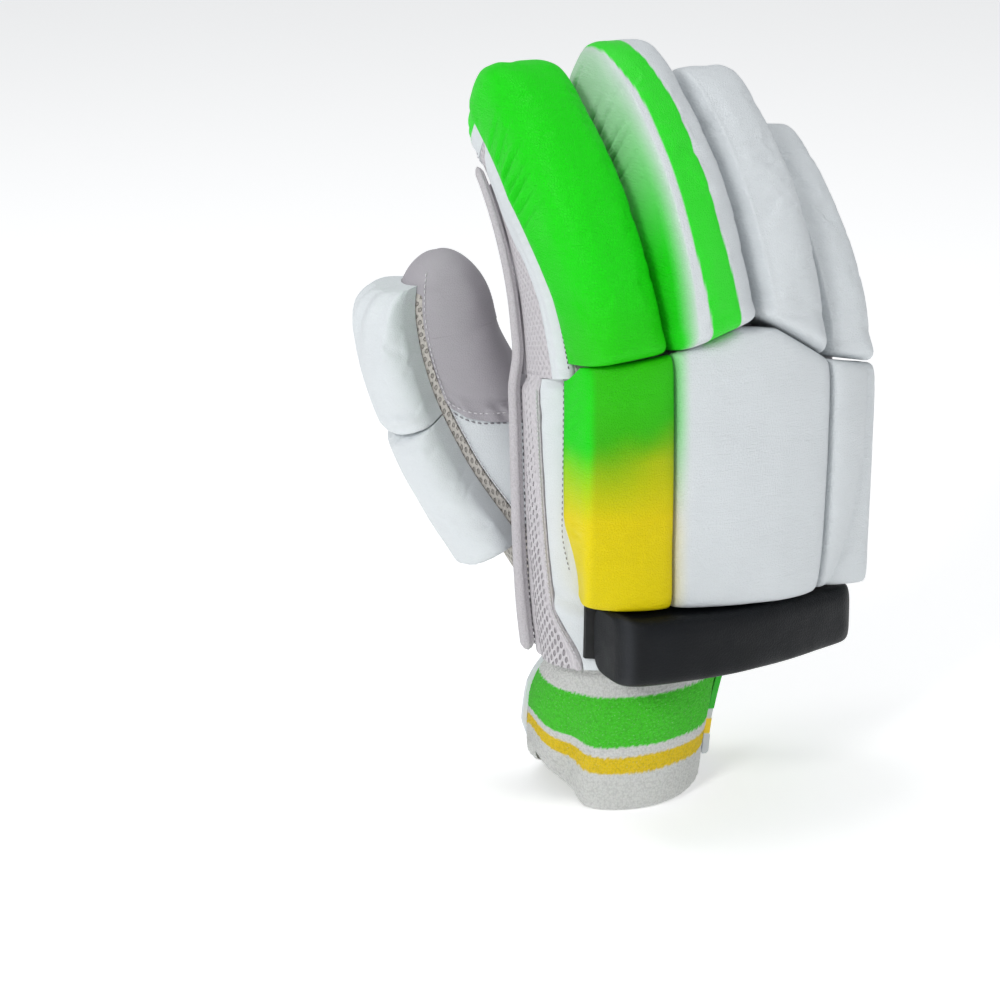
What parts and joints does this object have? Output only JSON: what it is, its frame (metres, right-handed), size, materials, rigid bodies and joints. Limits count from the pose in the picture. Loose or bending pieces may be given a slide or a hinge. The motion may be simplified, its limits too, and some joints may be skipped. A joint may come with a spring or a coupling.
{
  "type": "cricket batting glove",
  "caption": "Right-hand cricket batting glove with padded finger and thumb rolls, segmented back pads, wrist roll, leather palm and striped elastic cuff.",
  "frame": {"origin": "middle of the wrist opening at the cuff's hem", "axes": "+Z from the hem up to the fingers, -Y the back of the hand with the rolls, +Y the palm, -X the thumb side, +X the little-finger side"},
  "size_m": [0.1694, 0.1207, 0.2786],
  "materials": {
    "lilac_leather": "soft matt palm leather",
    "white_leather": "smooth satin leather",
    "green_leather": "satin leather, sprayed fluorescent green",
    "green_yellow_leather": "satin leather, green fading to yellow",
    "knit_mesh": "open knitted mesh",
    "beige_mesh": "hexagon mesh",
    "striped_knit": "elastic terry knit with green and yellow stripes",
    "charcoal_leather": "satin",
    "black_webbing": "woven"
  },
  "bodies": {
    "root": {"palm_leather": "lilac_leather", "index_side_mesh": "knit_mesh", "back_leather": "white_leather", "little_side_mesh": "knit_mesh", "palm_piping_index": "knit_mesh", "palm_piping_little": "lilac_leather", "index_finger_leather": "lilac_leather", "index_finger_mesh": "knit_mesh", "index_fingertip_cap": "white_leather", "index_roll": "green_leather", "middle_finger_leather": "lilac_leather", "middle_finger_mesh": "knit_mesh", "middle_fingertip_cap": "white_leather", "middle_roll": "white_leather", "ring_finger_leather": "lilac_leather", "ring_finger_mesh": "knit_mesh", "ring_fingertip_cap": "white_leather", "ring_roll": "white_leather", "little_finger_leather": "lilac_leather", "little_finger_mesh": "knit_mesh", "little_fingertip_cap": "white_leather", "little_roll": "white_leather", "thumb_palm_mesh": "beige_mesh", "thumb_side_mesh": "beige_mesh", "thumb_leather": "lilac_leather", "thumb_patch": "white_leather", "thumb_tip_cap": "lilac_leather", "thumb_tip_roll": "white_leather", "thumb_base_roll": "white_leather", "index_back_pad": "green_yellow_leather", "center_back_pad": "white_leather", "little_back_pad": "white_leather", "wrist_roll_backing": "black_webbing", "wrist_roll": "charcoal_leather", "knit_cuff": "striped_knit", "wrist_strap": "white_leather", "strap_loop": "white_leather"}
  },
  "joints": []
}
